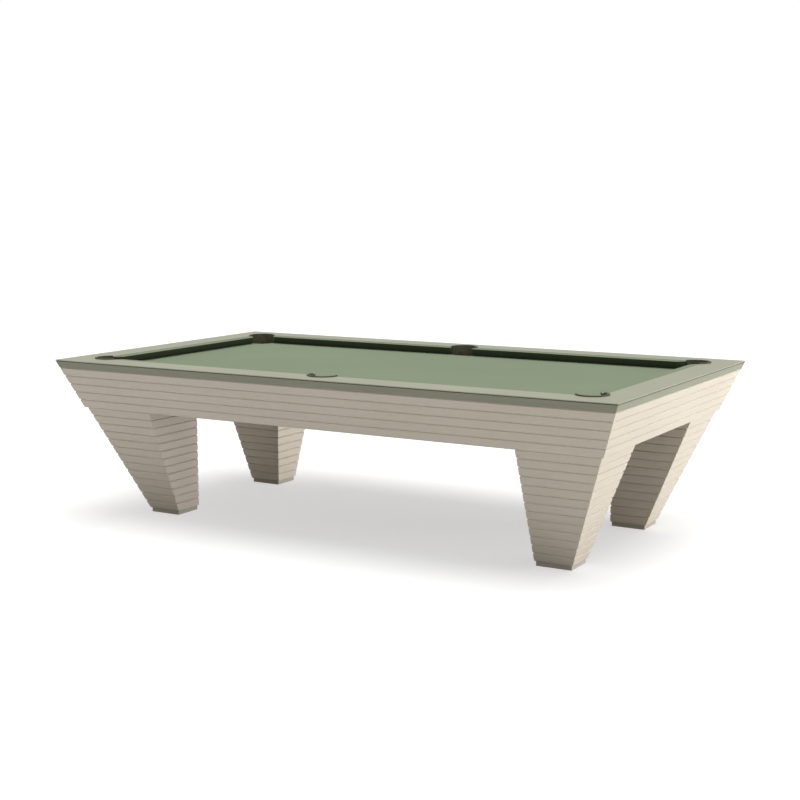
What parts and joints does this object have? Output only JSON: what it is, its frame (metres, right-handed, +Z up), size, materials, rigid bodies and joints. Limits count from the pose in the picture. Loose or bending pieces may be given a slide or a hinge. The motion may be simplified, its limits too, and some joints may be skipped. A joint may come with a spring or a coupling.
{
  "type": "pool table",
  "caption": "Slate-bed pool table with open leather pockets, cloth-covered cushions and a lacquered body of sloping slatted aprons and tapered slatted legs on levelling plinths.",
  "frame": {"origin": "on the floor, under the middle of the bed", "axes": "+X along the length, +Y across the table to the back, +Z up; the front is -Y"},
  "size_m": [2.9184, 1.6484, 0.785],
  "materials": {
    "rail_lacquer": "satin sage-grey lacquer",
    "slat_lacquer": "satin ivory lacquer",
    "birch_ply": "bare birch plywood",
    "pine": "planed softwood",
    "slate": "ground slate",
    "bed_cloth": "smooth worsted cloth",
    "cushion_cloth": "smooth worsted cloth",
    "cushion_rubber": "moulded gum rubber",
    "pocket_leather": "dark brown leather over a moulded shell",
    "basket_leather": "dark brown leather",
    "plinth_coat": "warm grey satin lacquer",
    "pad_nylon": "black moulded nylon",
    "zinc_steel": "bright zinc plate"
  },
  "bodies": {
    "table": {"rail_front": "rail_lacquer", "rail_back": "rail_lacquer", "rail_left": "rail_lacquer", "rail_right": "rail_lacquer", "cushion_front_left": "cushion_cloth", "cushion_front_right": "cushion_cloth", "cushion_back_left": "cushion_cloth", "cushion_back_right": "cushion_cloth", "cushion_left": "cushion_cloth", "cushion_right": "cushion_cloth", "cushion_rubbers": "cushion_rubber", "bed_cloth": "bed_cloth", "slate_left": "slate", "slate_middle": "slate", "slate_right": "slate", "pocket_liner_front_left": "pocket_leather", "pocket_liner_front_middle": "pocket_leather", "pocket_liner_front_right": "pocket_leather", "pocket_liner_back_left": "pocket_leather", "pocket_liner_back_middle": "pocket_leather", "pocket_liner_back_right": "pocket_leather", "pocket_basket_front_left": "basket_leather", "pocket_basket_front_middle": "basket_leather", "pocket_basket_front_right": "basket_leather", "pocket_basket_back_left": "basket_leather", "pocket_basket_back_middle": "basket_leather", "pocket_basket_back_right": "basket_leather", "apron_slats_front": "slat_lacquer", "apron_slats_back": "slat_lacquer", "apron_slats_left": "slat_lacquer", "apron_slats_right": "slat_lacquer", "apron_board_front": "birch_ply", "apron_board_back": "birch_ply", "apron_board_left": "birch_ply", "apron_board_right": "birch_ply", "frame_beam_front": "pine", "frame_beam_back": "pine", "frame_crossbars": "pine", "leg_core_front_left": "birch_ply", "leg_core_front_right": "birch_ply", "leg_core_back_left": "birch_ply", "leg_core_back_right": "birch_ply", "leg_slats_front_left": "slat_lacquer", "leg_slats_front_right": "slat_lacquer", "leg_slats_back_left": "slat_lacquer", "leg_slats_back_right": "slat_lacquer", "plinth_front_left": "plinth_coat", "plinth_front_right": "plinth_coat", "plinth_back_left": "plinth_coat", "plinth_back_right": "plinth_coat", "rail_bolts": "zinc_steel", "leg_bolts": "zinc_steel"},
    "pad_front_left": {"leveller_pad_front_left": "pad_nylon"},
    "stud_front_left": {"leveller_stud_front_left": "zinc_steel"},
    "pad_front_right": {"leveller_pad_front_right": "pad_nylon"},
    "stud_front_right": {"leveller_stud_front_right": "zinc_steel"},
    "pad_back_left": {"leveller_pad_back_left": "pad_nylon"},
    "stud_back_left": {"leveller_stud_back_left": "zinc_steel"},
    "pad_back_right": {"leveller_pad_back_right": "pad_nylon"},
    "stud_back_right": {"leveller_stud_back_right": "zinc_steel"}
  },
  "joints": [
    {"name": "pad_slide_front_left", "type": "slide", "parent": "table", "child": "pad_front_left", "axis": [0, 0, -1], "range_m": [0, 0.015]},
    {"name": "stud_turn_front_left", "type": "hinge", "parent": "pad_front_left", "child": "stud_front_left", "pos_m": [-1.057, -0.4305, 0.05], "axis": [0, 0, -1], "range_deg": [0, 2700]},
    {"name": "pad_slide_front_right", "type": "slide", "parent": "table", "child": "pad_front_right", "axis": [0, 0, -1], "range_m": [0, 0.015]},
    {"name": "stud_turn_front_right", "type": "hinge", "parent": "pad_front_right", "child": "stud_front_right", "pos_m": [1.057, -0.4305, 0.05], "axis": [0, 0, -1], "range_deg": [0, 2700]},
    {"name": "pad_slide_back_left", "type": "slide", "parent": "table", "child": "pad_back_left", "axis": [0, 0, -1], "range_m": [0, 0.015]},
    {"name": "stud_turn_back_left", "type": "hinge", "parent": "pad_back_left", "child": "stud_back_left", "pos_m": [-1.057, 0.4305, 0.05], "axis": [0, 0, -1], "range_deg": [0, 2700]},
    {"name": "pad_slide_back_right", "type": "slide", "parent": "table", "child": "pad_back_right", "axis": [0, 0, -1], "range_m": [0, 0.015]},
    {"name": "stud_turn_back_right", "type": "hinge", "parent": "pad_back_right", "child": "stud_back_right", "pos_m": [1.057, 0.4305, 0.05], "axis": [0, 0, -1], "range_deg": [0, 2700]}
  ],
  "couplings": [
    {"joint": "stud_turn_front_left", "follows": "pad_slide_front_left", "rad_per_m": 3141.6},
    {"joint": "stud_turn_front_right", "follows": "pad_slide_front_right", "rad_per_m": 3141.6},
    {"joint": "stud_turn_back_left", "follows": "pad_slide_back_left", "rad_per_m": 3141.6},
    {"joint": "stud_turn_back_right", "follows": "pad_slide_back_right", "rad_per_m": 3141.6}
  ]
}
